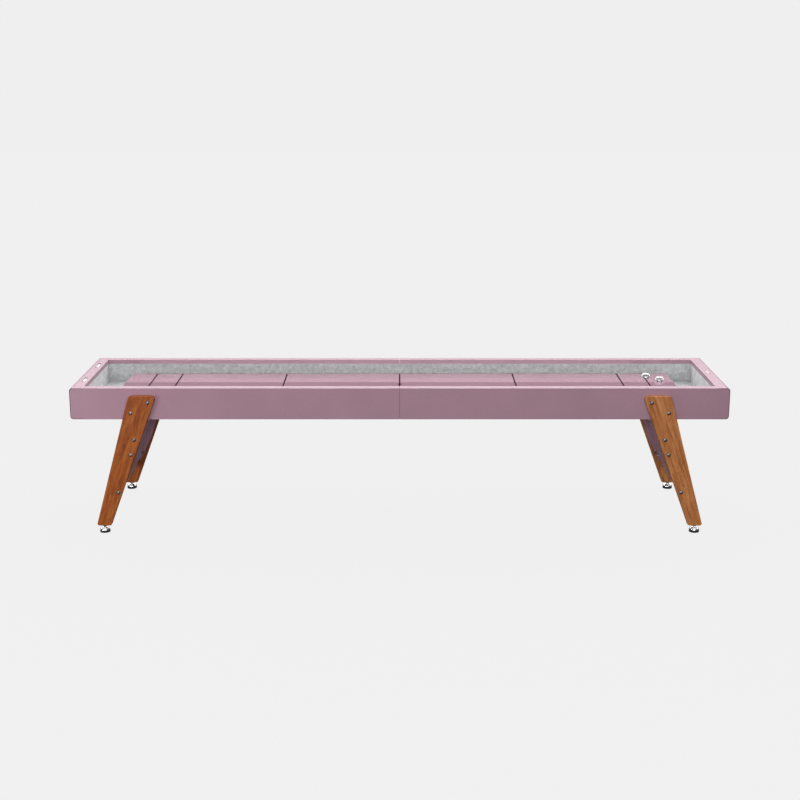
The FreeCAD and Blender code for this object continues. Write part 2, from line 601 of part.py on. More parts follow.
# ---- levelling feet ---------------------------------------------------------------------------
inserts = []
for end_name, end in ENDS.items():
    for side_name, front in SIDES.items():
        tag = f"{side_name}_{end_name}"
        middle = (f"{end} * foot_x", f"{front} * (half_wid + leg_thick / 2)")
        pad_disc = rod(f"pad_disc_{tag}", (*middle, "0"), "Z", "pad_rad", "pad_high")
        keep(rounded(f"pad_round_{tag}", pad_disc, "pad_round", lambda edge: edge.Closed), f"foot_pad_{tag}")
        wall = rod(f"cup_wall_{tag}", (*middle, "pad_high"), "Z", "cup_rad", "cup_wall_z - pad_high")
        dome = cone(f"cup_dome_{tag}", (*middle, "cup_wall_z"), "Z", "cup_rad", "cup_neck",
                    "cup_top_z - cup_wall_z")
        collar = rod(f"cup_collar_{tag}", (*middle, "pad_high"), "Z", "collar_rad", "collar_z - pad_high")
        stem = rod(f"cup_stem_{tag}", (*middle, "pad_high"), "Z", "stem_rad", "stem_top_z - pad_high")
        keep(join(f"cup_{tag}", wall, dome, collar, stem), f"foot_cup_{tag}")
        sleeve = rod(f"insert_sleeve_{tag}", (*middle, "insert_lip_z"), "Z", "insert_rad",
                     "insert_top_z - insert_lip_z")
        lip = rod(f"insert_lip_{tag}", (*middle, "insert_lip_z"), "Z", "insert_lip",
                  "leg_foot_z - insert_lip_z")
        bore = rod(f"insert_bore_{tag}", (*middle, "0"), "Z", "stem_rad + fit_gap", "insert_top_z + overrun")
        inserts.append(take(f"insert_{tag}", join(f"insert_solid_{tag}", sleeve, lip), bore))
keep(group("insert_group", inserts), "foot_inserts")


# ---- score rollers in the left end rail -------------------------------------------------------
axles, cradles = [], []
for side_name, where in SIDES.items():
    y = f"{where} * roller_y"
    drum = rod(f"drum_{side_name}", ("-roller_x", f"{y} - roller_half", "roller_z"), "Y", "roller_rad",
               "2 * roller_half")
    drum = rounded(f"drum_round_{side_name}", drum, "roller_round", lambda edge: edge.Closed)
    past = "(roller_half + overrun)"
    bore = rod(f"drum_bore_{side_name}", ("-roller_x", f"{y} - {past}", "roller_z"), "Y", "axle_rad + fit_gap",
               f"2 * {past}")
    keep(take(f"drum_cut_{side_name}", drum, bore), f"score_roller_{side_name}")
    reach = "roller_half + ear_gap + ear"
    axles.append(rod(f"axle_{side_name}", ("-roller_x", f"{y} - ({reach})", "roller_z"), "Y", "axle_rad",
                     f"2 * ({reach})"))
    x = ("-roller_x - ear_half", "-roller_x + ear_half")
    ears = [block(f"ear_{side_name}_{i}", x, (f"{y} + {low}", f"{y} + {high}"), ("bridge_z", "rim_z - fold"))
            for i, (low, high) in enumerate(((f"-({reach})", "-(roller_half + ear_gap)"),
                                             ("roller_half + ear_gap", reach)))]
    bridge = block(f"bridge_{side_name}", x, (f"{y} - ({reach})", f"{y} + {reach}"),
                   ("bridge_z", "bridge_z + fold"))
    pin_hole = rod(f"ear_bore_{side_name}", ("-roller_x", f"{y} - {past}", "roller_z"), "Y", "axle_rad",
                   f"2 * {past}")
    cradles.append(take(f"cradle_{side_name}", join(f"cradle_solid_{side_name}", *ears, bridge), pin_hole))
keep(group("axle_group", axles), "score_axles")
keep(group("cradle_group", cradles), "score_cradles")


# ---- blank oval plate on the right end rail ---------------------------------------------------
bar = block("badge_bar", ("roller_x - badge_rad", "roller_x + badge_rad"),
            ("-(badge_half - badge_rad)", "badge_half - badge_rad"), ("rim_z", "rim_z + badge"))
caps = [rod(f"badge_cap_{side_name}", ("roller_x", f"{where} * (badge_half - badge_rad)", "rim_z"), "Z",
            "badge_rad", "badge") for side_name, where in SIDES.items()]
keep(join("badge", bar, *caps), "badge_plate")


# ---- weights ----------------------------------------------------------------------------------
for name in ("near", "far"):
    spot = (f"puck_{name}_x", f"puck_{name}_y")
    base_foot = "board_z + puck_float"
    puck = rod(f"puck_{name}", (*spot, base_foot), "Z", "puck_rad", "puck_base")
    keep(rounded(f"puck_{name}_round", puck, "puck_round", lambda edge: edge.Closed), f"puck_base_{name}")
    cap = rod(f"puck_cap_{name}", (*spot, f"{base_foot} + puck_base"), "Z", "puck_cap_rad", "puck_cap")
    cap_middle = number(f"{base_foot} + puck_base + puck_cap / 2")
    keep(rounded(f"puck_cap_{name}_round", cap, "puck_cap_round",
                 lambda edge: edge.Closed and edge.CenterOfMass.z > cap_middle), f"puck_cap_{name}_piece")


# ---- check and write --------------------------------------------------------------------------
doc.recompute()
for thing in doc.Objects:
    if {"Invalid", "Error"} & set(thing.State):
        raise ValueError(f"{thing.Label} did not rebuild: {thing.State}")
os.makedirs("parts", exist_ok=True)
for thing in nodes:
    shape = thing.Shape
    if shape.isNull() or not shape.isValid() or not shape.Solids:
        raise ValueError(f"{thing.Label} is not a valid solid")
    shape.exportStep(f"parts/{thing.Label}.step")
print(f"{len(nodes)} pieces written")
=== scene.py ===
import math

import bmesh
import bpy
from mathutils import Matrix, Vector


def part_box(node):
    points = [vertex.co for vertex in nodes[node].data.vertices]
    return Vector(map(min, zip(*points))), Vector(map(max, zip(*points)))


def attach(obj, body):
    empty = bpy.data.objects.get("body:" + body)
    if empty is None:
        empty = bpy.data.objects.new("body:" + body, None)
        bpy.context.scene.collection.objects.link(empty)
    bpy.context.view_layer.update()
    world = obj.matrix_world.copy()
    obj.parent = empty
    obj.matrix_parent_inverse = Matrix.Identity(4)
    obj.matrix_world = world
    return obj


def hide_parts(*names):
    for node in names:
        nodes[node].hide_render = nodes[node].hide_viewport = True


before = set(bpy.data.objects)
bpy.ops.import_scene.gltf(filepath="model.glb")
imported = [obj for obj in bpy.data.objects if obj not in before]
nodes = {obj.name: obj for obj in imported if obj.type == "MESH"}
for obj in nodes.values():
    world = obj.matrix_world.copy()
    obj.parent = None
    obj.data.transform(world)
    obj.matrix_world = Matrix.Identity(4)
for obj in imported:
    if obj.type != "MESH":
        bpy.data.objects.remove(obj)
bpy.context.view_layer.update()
mm = 0.001
ends = {"left": -1, "right": 1}
sides = {"front": -1, "rear": 1}
legNames = [f"{side}_{end}" for side in sides for end in ends]
print("frame loaded")

# camera
camera = {"place": (0.002, -7.862, 2.6405), "tilt": 75.893, "lens": 62.57}
cameraData = bpy.data.cameras.new("camera")
cameraData.lens = camera["lens"]
cameraData.clip_end = 60
cameraObject = bpy.data.objects.new("camera", cameraData)
cameraObject.location = camera["place"]
cameraObject.rotation_euler = (math.radians(camera["tilt"]), 0, 0)
bpy.context.scene.collection.objects.link(cameraObject)
bpy.context.scene.camera = cameraObject


def colour(hexText):
    # sRGB hex to linear, opaque
    channels = [int(hexText[i:i + 2], 16) / 255 for i in (1, 3, 5)]
    return [c / 12.92 if c <= 0.04045 else ((c + 0.055) / 1.055) ** 2.4 for c in channels] + [1.0]


def addNode(material, kind, inputs=None, **settings):
    # one node, its settings, and for each input a value or a link
    tree = material.node_tree
    node = tree.nodes.new(kind)
    for name, value in settings.items():
        setattr(node, name, value)
    for name, value in (inputs or {}).items():
        if isinstance(value, bpy.types.NodeSocket):
            tree.links.new(value, node.inputs[name])
        else:
            node.inputs[name].default_value = value
    return node


def addRamp(material, factor, stops):
    # a colour ramp whose stops are (position, hex) pairs
    ramp = addNode(material, "ShaderNodeValToRGB", {"Fac": factor})
    elements = ramp.color_ramp.elements
    while len(elements) < len(stops):
        elements.new(0.5)
    for element, (position, hexText) in zip(elements, stops):
        element.position = position
        element.color = colour(hexText)
    return ramp.outputs["Color"]


def startMaterial(name, **shaderInputs):
    material = bpy.data.materials.new(name)
    material.use_nodes = True
    material.node_tree.nodes.clear()
    output = addNode(material, "ShaderNodeOutputMaterial")
    shader = addNode(material, "ShaderNodeBsdfPrincipled")
    material.node_tree.links.new(shader.outputs["BSDF"], output.inputs["Surface"])
    for name, value in shaderInputs.items():
        shader.inputs[name.replace("_", " ")].default_value = value
    return material, shader


def objectCoordinates(material, turn=(0, 0, 0), shift=(0, 0, 0)):
    source = addNode(material, "ShaderNodeTexCoord").outputs["Object"]
    settings = {"Vector": source, "Location": shift, "Rotation": turn}
    return addNode(material, "ShaderNodeMapping", settings).outputs["Vector"]


def feed(material, shader, socketName, source):
    material.node_tree.links.new(source, shader.inputs[socketName])


def noise(material, vector, sizeMm, detail=3.0, roughness=0.55, distortion=0.0):
    # noise whose bumps are about sizeMm across
    settings = {"Vector": vector, "Scale": 1 / (sizeMm * mm), "Detail": detail, "Roughness": roughness,
                "Distortion": distortion}
    return addNode(material, "ShaderNodeTexNoise", settings).outputs["Fac"]


def remap(material, source, low, high):
    # the middle stretch of a noise, spread between two values
    settings = {"Value": source, "From Min": 0.3, "From Max": 0.7, "To Min": low, "To Max": high}
    return addNode(material, "ShaderNodeMapRange", settings).outputs["Result"]


def bump(material, height, depthMm):
    settings = {"Height": height, "Strength": 1.0, "Distance": depthMm * mm}
    return addNode(material, "ShaderNodeBump", settings).outputs["Normal"]


# polyester powder coat on steel: satin, with a faint orange peel that breaks up the highlights
powder = {"pink": ("#A4808F", "#A88492"), "primer": ("#3E3137", "#473A40"), "ior": 1.65,
          "peelMm": 1.6, "peelDepthMm": 0.03, "patchMm": 240, "roughness": (0.24, 0.3)}


def powderCoat(name, low, high):
    material, shader = startMaterial(name, Metallic=0.0, IOR=powder["ior"])
    where = objectCoordinates(material)
    patch = noise(material, where, powder["patchMm"], 2)
    feed(material, shader, "Base Color", addRamp(material, patch, [(0.35, low), (0.65, high)]))
    peel = noise(material, where, powder["peelMm"], 2)
    feed(material, shader, "Roughness", remap(material, peel, *powder["roughness"]))
    feed(material, shader, "Normal", bump(material, peel, powder["peelDepthMm"]))
    return material


# needled grey wool felt, glued to the tray: mottled, fibrous, no shine, with a painted shade on the gutter
# floor
felt = {"dark": "#929597", "middle": "#BABCBE", "light": "#DCDEDE", "paintedFloorShade": 0.86, "mottleMm": 26,
        "fibreMm": 2.4, "napMm": 0.5, "sheetMm": 4}


def woolFelt():
    material, shader = startMaterial("needled wool felt", Metallic=0.0, Roughness=0.95, IOR=1.45)
    shader.inputs["Specular IOR Level"].default_value = 0.15
    shader.inputs["Sheen Weight"].default_value = 0.25
    shader.inputs["Sheen Roughness"].default_value = 0.6
    where = objectCoordinates(material)
    mottle = noise(material, where, felt["mottleMm"], 5, 0.7)
    fibres = noise(material, where, felt["fibreMm"], 4, 0.7, 1.2)
    mixed = addNode(material, "ShaderNodeMix", {"Factor": 0.55, "A": mottle, "B": fibres}).outputs["Result"]
    pile = addRamp(material, mixed, [(0.38, felt["dark"]), (0.5, felt["middle"]), (0.62, felt["light"])])
    # painted shade: the felt on the floor of the gutter is drawn darker than the felt on the walls, standing
    # in for the light falling differently on them
    height = addNode(material, "ShaderNodeSeparateXYZ", {"Vector": where}).outputs["Z"]
    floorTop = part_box("board_core_left")[0][2]
    settings = {"Value": height, "From Min": floorTop, "From Max": floorTop + felt["sheetMm"] * mm,
                "To Min": felt["paintedFloorShade"], "To Max": 1.0}
    shade = addNode(material, "ShaderNodeMapRange", settings).outputs["Result"]
    shaded = addNode(material, "ShaderNodeVectorMath", {0: pile, 1: shade}, operation="MULTIPLY").outputs[0]
    feed(material, shader, "Base Color", shaded)
    feed(material, shader, "Normal", bump(material, fibres, felt["napMm"]))
    return material


# high-pressure laminate under a clear gloss coat: the coat mirrors the rear rail, the body stays dull
laminate = {"low": "#977683", "high": "#9B7A87", "patchMm": 300, "coatIor": 1.58, "coatRoughness": 0.03,
            "waveMm": 90, "waveDepthMm": 0.015}


def glossLaminate():
    material, shader = startMaterial("gloss compact laminate", Metallic=0.0, IOR=1.5, Roughness=0.3)
    shader.inputs["Specular IOR Level"].default_value = 0.0
    shader.inputs["Coat Weight"].default_value = 1.0
    shader.inputs["Coat Roughness"].default_value = laminate["coatRoughness"]
    shader.inputs["Coat IOR"].default_value = laminate["coatIor"]
    where = objectCoordinates(material)
    patch = noise(material, where, laminate["patchMm"], 3)
    pink = addRamp(material, patch, [(0.35, laminate["low"]), (0.65, laminate["high"])])
    feed(material, shader, "Base Color", pink)
    wave = noise(material, where, laminate["waveMm"], 1)
    feed(material, shader, "Coat Normal", bump(material, wave, laminate["waveDepthMm"]))
    return material


# oiled iroko: straight brown grain with darker streaks and short open pores along it
iroko = {"left": ("#6A2C0C", "#874112", "#9B5018", "#AF6628"),
         "right": ("#8A5028", "#A66434", "#BC7844", "#D08E5A"),
         "ringMm": 6, "streakMm": 17, "alongGrain": 0.09,
         "poreMm": 1.4, "poreLongMm": 26, "poreDepthMm": 0.12, "roughness": (0.42, 0.56)}


def stretch(material, vector, along):
    # coordinates that run slower up the board, so that noise on them is drawn out along the grain
    scaled = addNode(material, "ShaderNodeVectorMath", {0: vector, 1: (1, 1, along)}, operation="MULTIPLY")
    return scaled.outputs[0]


def oiledIroko(name, board, lean, seed):
    material, shader = startMaterial(name, Metallic=0.0, IOR=1.48)
    shader.inputs["Specular IOR Level"].default_value = 0.3
    # turned so that the grain's long axis lies along the leaning board
    where = objectCoordinates(material, turn=(0, lean, 0), shift=(seed * 1.7, seed * 0.9, seed * 2.3))
    drawn = stretch(material, where, iroko["alongGrain"])
    rings = noise(material, drawn, iroko["ringMm"], 5, 0.6, 0.8)
    streaks = noise(material, drawn, iroko["streakMm"], 3, 0.5, 0.4)
    tone = addNode(material, "ShaderNodeMix", {"Factor": 0.6, "A": rings, "B": streaks}).outputs["Result"]
    base = addRamp(material, tone, list(zip((0.3, 0.42, 0.52, 0.66), iroko[board])))
    poreLines = stretch(material, where, iroko["poreMm"] / iroko["poreLongMm"])
    pores = noise(material, poreLines, iroko["poreMm"], 2)
    shade = addRamp(material, pores, [(0.36, "#8A8A8A"), (0.48, "#FFFFFF")])
    stained = addNode(material, "ShaderNodeMix", {"Factor": 0.55, "A": base, "B": shade}, data_type="RGBA",
                      blend_type="MULTIPLY")
    feed(material, shader, "Base Color", stained.outputs["Result"])
    feed(material, shader, "Roughness", remap(material, pores, iroko["roughness"][1], iroko["roughness"][0]))
    feed(material, shader, "Normal", bump(material, pores, iroko["poreDepthMm"]))
    return material


# metals: fine marks from turning or grinding, drawn in the colour, roughness and bump alike
def metal(name, low, high, roughness, scratchMm, depthMm):
    material, shader = startMaterial(name, Metallic=1.0)
    where = objectCoordinates(material)
    marks = noise(material, where, scratchMm, 4, 0.6)
    feed(material, shader, "Base Color", addRamp(material, marks, [(0.35, low), (0.65, high)]))
    feed(material, shader, "Roughness", remap(material, marks, *roughness))
    feed(material, shader, "Normal", bump(material, marks, depthMm))
    return material


# moulded or poured plastics and rubber: grain from the mould in the roughness and bump
def moulded(name, low, high, roughness, grainMm, depthMm, shine=0.5):
    material, shader = startMaterial(name, Metallic=0.0, IOR=1.49)
    shader.inputs["Specular IOR Level"].default_value = shine
    where = objectCoordinates(material)
    grain = noise(material, where, grainMm, 3)
    feed(material, shader, "Base Color", addRamp(material, grain, [(0.3, low), (0.7, high)]))
    feed(material, shader, "Roughness", remap(material, grain, *roughness))
    feed(material, shader, "Normal", bump(material, grain, depthMm))
    return material


# birch plywood: pale plies with thin dark glue lines, cut square
plywood = {"ply": "#C9A777", "glue": "#7C5A38", "plyMm": 3, "plyDepthMm": 0.1}


def birchPlywood():
    material, shader = startMaterial("birch plywood", Metallic=0.0, IOR=1.48, Roughness=0.55)
    where = objectCoordinates(material)
    settings = {"Vector": where, "Scale": 1 / (plywood["plyMm"] * mm) / 20, "Distortion": 0.4, "Detail": 2}
    plies = addNode(material, "ShaderNodeTexWave", settings, bands_direction="Z").outputs["Fac"]
    tone = addRamp(material, plies, [(0.1, plywood["glue"]), (0.3, plywood["ply"])])
    feed(material, shader, "Base Color", tone)
    feed(material, shader, "Normal", bump(material, plies, plywood["plyDepthMm"]))
    return material


pinkPaint = powderCoat("satin powder coat", *powder["pink"])
framePaint = powderCoat("matt primer", *powder["primer"])
woolFeltMaterial = woolFelt()
laminateMaterial = glossLaminate()
# turned bolt heads: dark steel with a soft highlight
stainless = metal("turned stainless steel", "#74787B", "#94989B",
                  roughness=(0.24, 0.38), scratchMm=0.9, depthMm=0.01)
# ground weights: pale and satin, so that they hold a broad highlight
puckSteel = metal("ground puck steel", "#C2C6C9", "#DADDDF",
                  roughness=(0.28, 0.38), scratchMm=1.0, depthMm=0.003)
# plated feet: almost a mirror
chrome = metal("polished chrome plate", "#D9DADC", "#F2F3F5",
               roughness=(0.04, 0.09), scratchMm=3.0, depthMm=0.002)
# zinc on inserts and panel fasteners: dull, a little yellow
zinc = metal("zinc plated steel", "#A3A294", "#C2C1B4",
             roughness=(0.32, 0.45), scratchMm=1.2, depthMm=0.02)
# the blank plate: even and silky, close to the paint in tone
anodised = metal("anodised aluminium", "#A79EA2", "#B7AEB2",
                 roughness=(0.3, 0.4), scratchMm=0.6, depthMm=0.01)
# resin poured in the grooves: near black plum, without shine so that it stays dark beside the gloss
inlay = moulded("dark resin inlay", "#1E0D16", "#2A1520",
                roughness=(0.05, 0.08), grainMm=1.5, depthMm=0.002, shine=0.0)
# soles, collars and buttons: soft black with a fine grain
rubber = moulded("moulded black rubber", "#131313", "#202020",
                 roughness=(0.6, 0.75), grainMm=0.8, depthMm=0.05)
# caps and drums: off-white, lightly glossy
acetal = moulded("white acetal", "#D6D6D4", "#E2E2E0",
                 roughness=(0.25, 0.35), grainMm=0.8, depthMm=0.01)
# pad-printed numbers: flat mid grey
ink = moulded("grey pad-printed ink", "#9A9A9A", "#A6A6A6",
              roughness=(0.4, 0.5), grainMm=0.8, depthMm=0.005)
plywoodMaterial = birchPlywood()
print("materials made")


def dress(nodeName, material):
    piece = nodes[nodeName]
    piece.data.materials.clear()
    piece.data.materials.append(material)


legSlope = 0.327  # how far out a leg's middle line runs for each step down
legLean = math.atan(legSlope)
legNodes = [f"leg_{legName}" for legName in legNames]
for nodeName in nodes:
    if "_panel_" in nodeName or nodeName.startswith(("leg_bracket", "cross_panel")):
        dress(nodeName, pinkPaint)
    elif nodeName.startswith("felt_lining"):
        dress(nodeName, woolFeltMaterial)
    elif nodeName.startswith("playing_board"):
        dress(nodeName, laminateMaterial)
    elif nodeName.startswith("board_core"):
        dress(nodeName, plywoodMaterial)
    elif nodeName == "court_lines":
        dress(nodeName, inlay)
    elif nodeName in legNodes:
        lean = legLean if nodeName.endswith("right") else -legLean
        end = nodeName.split("_")[-1]
        dress(nodeName, oiledIroko(f"oiled iroko {nodeName}", end, lean, 1 + len(nodeName) % 3))
    elif nodeName.startswith(("foot_cup", "puck_base")):
        dress(nodeName, chrome)
    elif nodeName.startswith("foot_pad"):
        dress(nodeName, rubber)
    elif nodeName.startswith(("score_roller", "puck_cap")):
        dress(nodeName, acetal)
    elif nodeName == "badge_plate":
        dress(nodeName, anodised)
    elif nodeName in ("leg_bolts", "leg_nuts", "joint_bolts", "score_axles"):
        dress(nodeName, stainless)
    elif nodeName in ("foot_inserts", "panel_bolts", "panel_nuts"):
        dress(nodeName, zinc)
    else:
        dress(nodeName, framePaint)


def lathe(profile, steps=48):
    # a profile of (radius, height) points in millimetres, spun about its own upright axis
    shape = bmesh.new()
    points = [shape.verts.new((radius * mm, 0, high * mm)) for radius, high in profile]
    edges = [shape.edges.new(pair) for pair in zip(points, points[1:])]
    bmesh.ops.spin(shape, geom=points + edges, cent=(0, 0, 0), axis=(0, 0, 1), angle=math.tau, steps=steps,
                   use_merge=True)
    bmesh.ops.remove_doubles(shape, verts=shape.verts, dist=0.001 * mm)
    bmesh.ops.recalc_face_normals(shape, faces=shape.faces)
    return shape


def arc(centre, radius, start, end, steps=6):
    # points of a round stretch of a profile, angles in degrees
    angles = [math.radians(start + (end - start) * i / steps) for i in range(steps + 1)]
    return [(centre[0] + radius * math.cos(a), centre[1] + radius * math.sin(a)) for a in angles]


def openRims(shape):
    return [edge for edge in shape.edges if edge.is_boundary]


def sinkHexSocket(shape, acrossFlats, depth):
    # turns the round opening of a lathed head into a hexagonal socket with a flat floor
    apothem = acrossFlats / 2 * mm
    grown = bmesh.ops.extrude_edge_only(shape, edges=openRims(shape))["geom"]
    for point in [item for item in grown if isinstance(item, bmesh.types.BMVert)]:
        angle = math.atan2(point.co.y, point.co.x)
        reach = apothem / math.cos(angle % (math.pi / 3) - math.pi / 6)
        point.co.xy = Vector((math.cos(angle), math.sin(angle))) * reach
    wall = bmesh.ops.extrude_edge_only(shape, edges=openRims(shape))["geom"]
    low = [item for item in wall if isinstance(item, bmesh.types.BMVert)]
    bmesh.ops.translate(shape, verts=low, vec=(0, 0, -depth * mm))
    bmesh.ops.edgeloop_fill(shape, edges=openRims(shape))
    bmesh.ops.recalc_face_normals(shape, faces=shape.faces)


def squareHex(shape, acrossFlats, low, high):
    # presses spanner flats into the round part of a lathed shape between two heights
    apothem = acrossFlats / 2 * mm
    for point in shape.verts:
        radius = point.co.xy.length
        if low * mm - 1e-6 < point.co.z < high * mm + 1e-6 and radius > apothem:
            angle = math.atan2(point.co.y, point.co.x)
            reach = min(radius, apothem / math.cos(angle % (math.pi / 3) - math.pi / 6))
            point.co.xy = Vector((math.cos(angle), math.sin(angle))) * reach


sharpAngle = 35  # creases steeper than this stay crisp


def finishPiece(name, shape, material, body, replaced=()):
    # makes an object of a shape, and tells the frame what it rides on and what it stands in for
    mesh = bpy.data.meshes.new(name)
    shape.to_mesh(mesh)
    shape.free()
    mesh.materials.append(material)
    mesh.shade_smooth()
    mesh.set_sharp_from_angle(angle=math.radians(sharpAngle))
    piece = bpy.data.objects.new(name, mesh)
    bpy.context.scene.collection.objects.link(piece)
    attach(piece, body)
    if replaced:
        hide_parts(*replaced)


def addCopy(whole, part, matrix):
    # puts a moved copy of one shape into another
    mesh = bpy.data.meshes.new("copy")
    part.to_mesh(mesh)
    mesh.transform(matrix)
    whole.from_mesh(mesh)
    bpy.data.meshes.remove(mesh)


def middleOf(nodeName):
    low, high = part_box(nodeName)
    return (Vector(low) + Vector(high)) / 2


# round-headed furniture bolts with a hexagonal socket, right through each leg
bolts = {"head": 11, "rim": 1.0, "high": 6, "socketRim": 4.4, "socket": 6, "socketDeep": 3.4, "shank": 4}
boltRows = {"cabinet": {"grip": 49, "places": ((1394, 753), (1490, 694))},
            "bracket": {"grip": 43, "places": ((1477, 541), (1500, 454), (1579, 234))}}


def socketBolt(grip):
    ball = (bolts["head"] ** 2 + (bolts["high"] - bolts["rim"]) ** 2) / (2 * (bolts["high"] - bolts["rim"]))
    top = bolts["high"] - ball
    start = math.degrees(math.asin((bolts["rim"] - top) / ball))
    end = math.degrees(math.acos(bolts["socketRim"] / ball))
    profile = [(0, -grip), (bolts["shank"] - 0.6, -grip), (bolts["shank"], -grip + 0.8), (bolts["shank"], 0),
               (bolts["head"] - 0.4, 0), (bolts["head"], 0.3)] + arc((0, top), ball, start, end, 8)
    shape = lathe(profile, 24)
    sinkHexSocket(shape, bolts["socket"], bolts["socketDeep"])
    return shape


legFace = Vector(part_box("leg_front_left")[0]).y
allBolts = bmesh.new()
for row in boltRows.values():
    single = socketBolt(row["grip"])
    for end in ends.values():
        for side in sides.values():
            outward = Matrix.Rotation(math.radians(-90 * side), 4, "X")
            for spot, (x, z) in enumerate(row["places"]):
                spin = Matrix.Rotation(spot * 0.7 + end, 4, "Z")  # each socket stops at its own angle
                place = Matrix.Translation((end * x * mm, -side * legFace, z * mm))
                addCopy(allBolts, single, place @ outward @ spin)
    single.free()
finishPiece("legBolts", allBolts, stainless, "table_frame", ["leg_bolts"])

# levelling feet: a rubber sole, a domed chrome cup with a spanner collar, and a threaded stem
foot = {"sole": 29, "soleHigh": 9.5, "cup": 27.5, "wallHigh": 13, "domeHigh": 28, "neck": 12.6,
        "collar": 9.5, "flats": 16.5, "collarLow": 29, "collarHigh": 36.2,
        "stem": 5.95, "stemTop": 86, "pitch": 1.75, "threadDeep": 0.7}


def soleShape():
    edge = foot["sole"]
    profile = [(0, 0.6), (edge - 9, 0.6), (edge - 8, 0), (edge - 2, 0)]
    profile += arc((edge - 1.5, 1.5), 1.5, -70, 0, 4)
    for groove in (3.6, 6.2):
        profile += [(edge, groove - 0.6), (edge - 0.7, groove - 0.2),
                    (edge - 0.7, groove + 0.2), (edge, groove + 0.6)]
    profile += arc((edge - 1.5, foot["soleHigh"] - 1.5), 1.5, 0, 90, 4) + [(0, foot["soleHigh"])]
    return lathe(profile, 64)


def cupShape():
    low, wall, top = foot["soleHigh"], foot["wallHigh"], foot["domeHigh"]
    quarter = [math.radians(90 * i / 12) for i in range(13)]
    skirt = arc((foot["cup"] - 1.2, low + 1.2), 1.2, -90, 0, 4)
    dome = [(foot["neck"] + (foot["cup"] - foot["neck"]) * math.cos(a), wall + (top - wall) * math.sin(a))
            for a in quarter]
    thread = []
    turns = int((foot["stemTop"] - 2 - foot["collarHigh"]) / foot["pitch"])
    for i in range(turns):
        start = foot["collarHigh"] + 0.4 + i * foot["pitch"]
        thread += [(foot["stem"] - foot["threadDeep"], start), (foot["stem"], start + foot["pitch"] * 0.45),
                   (foot["stem"], start + foot["pitch"] * 0.55)]
    profile = [(0, low)] + skirt + dome + [(foot["collar"] - 0.8, top)]
    profile += [(foot["collar"] - 0.8, foot["collarLow"]), (foot["collar"], foot["collarLow"] + 0.8),
                (foot["collar"], foot["collarHigh"] - 0.8), (foot["collar"] - 0.8, foot["collarHigh"])]
    profile += thread + [(foot["stem"] - 1.2, foot["stemTop"]), (0, foot["stemTop"])]
    shape = lathe(profile, 48)
    squareHex(shape, foot["flats"], foot["collarLow"], foot["collarHigh"])
    return shape


footParts = {"sole": ("foot_pad", soleShape, rubber, "black_rubber"),
             "cup": ("foot_cup", cupShape, chrome, "chrome")}
for legName in legNames:
    middle = middleOf(f"foot_pad_{legName}")
    for title, (nodeStart, makeShape, material, slotName) in footParts.items():
        shape = makeShape()
        bmesh.ops.translate(shape, verts=shape.verts, vec=(middle.x, middle.y, 0))
        replaced = [f"{nodeStart}_{legName}"]
        finishPiece(f"{title}_{legName}", shape, material, f"foot_{legName}", replaced)

# pucks: a turned steel ring with a waist, a dark collar, and a dished white cap with a dark button
puck = {"ring": 26.5, "ringHigh": 13, "waist": 1.3, "collar": 19.4, "collarHigh": 4.2,
        "cap": 21, "capHigh": 8, "button": 7.5}


def ringShape():
    edge, high = puck["ring"], puck["ringHigh"]
    profile = [(0, 0.8), (15, 0.8), (17, 0), (edge - 3, 0)] + arc((edge - 2.2, 2.2), 2.2, -80, 0, 5)
    for i in range(9):
        profile.append((edge - puck["waist"] * math.sin(math.pi * i / 8), 3.4 + (high - 6.2) * i / 8))
    profile += arc((edge - 2, high - 2), 2, 0, 90, 6)
    profile += [(puck["cap"] + 0.6, high), (puck["cap"] - 1, high - 1.2), (0, high - 1.2)]
    return lathe(profile, 72)


def capShape():
    edge, high, low = puck["cap"], puck["capHigh"], puck["ringHigh"] + puck["collarHigh"]
    top = puck["ringHigh"] + high
    profile = [(0, low), (edge - 0.4, low), (edge, low + 0.4), (edge, top - 2.4)]
    profile += arc((edge - 2.2, top - 2.2), 2.2, 0, 90, 6) + arc((0, top + 54), 57, -70.6, -84.3, 6)
    profile += [(puck["button"], top - 2.9), (0, top - 2.9)]
    return lathe(profile, 64)


def collarShape():
    edge, low, high = puck["collar"], puck["ringHigh"] - 1.2, puck["ringHigh"] + puck["collarHigh"]
    return lathe([(0, low), (edge, low), (edge - 0.8, low + 2), (edge - 0.8, high), (0, high)], 56)


def buttonShape():
    top = puck["ringHigh"] + puck["capHigh"] - 2.9
    return lathe([(0, top), (puck["button"] - 0.2, top), (puck["button"] - 0.2, top + 0.7),
                  (puck["button"] - 1, top + 1.3), (0, top + 1.5)], 40)


for name in ("near", "far"):
    base = middleOf(f"puck_base_{name}")
    underside = Vector(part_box(f"puck_base_{name}")[0]).z
    made = (("ring", ringShape(), puckSteel, "chrome", [f"puck_base_{name}"]),
            ("cap", capShape(), acetal, "white_plastic", [f"puck_cap_{name}_piece"]),
            ("collar", collarShape(), rubber, "black_rubber", []),
            ("button", buttonShape(), rubber, "black_rubber", []))
    for title, shape, material, slotName, replaced in made:
        bmesh.ops.translate(shape, verts=shape.verts, vec=(base.x, base.y, underside))
        finishPiece(f"puck_{name}_{title}", shape, material, f"puck_{name}", replaced)

# score rollers: a white drum with ribbed ends, and a number on each of its eight stations
drum = {"radius": 17, "ribs": 3, "bore": 3.05, "digitHigh": 10, "stations": 8, "inkThick": 0.06}


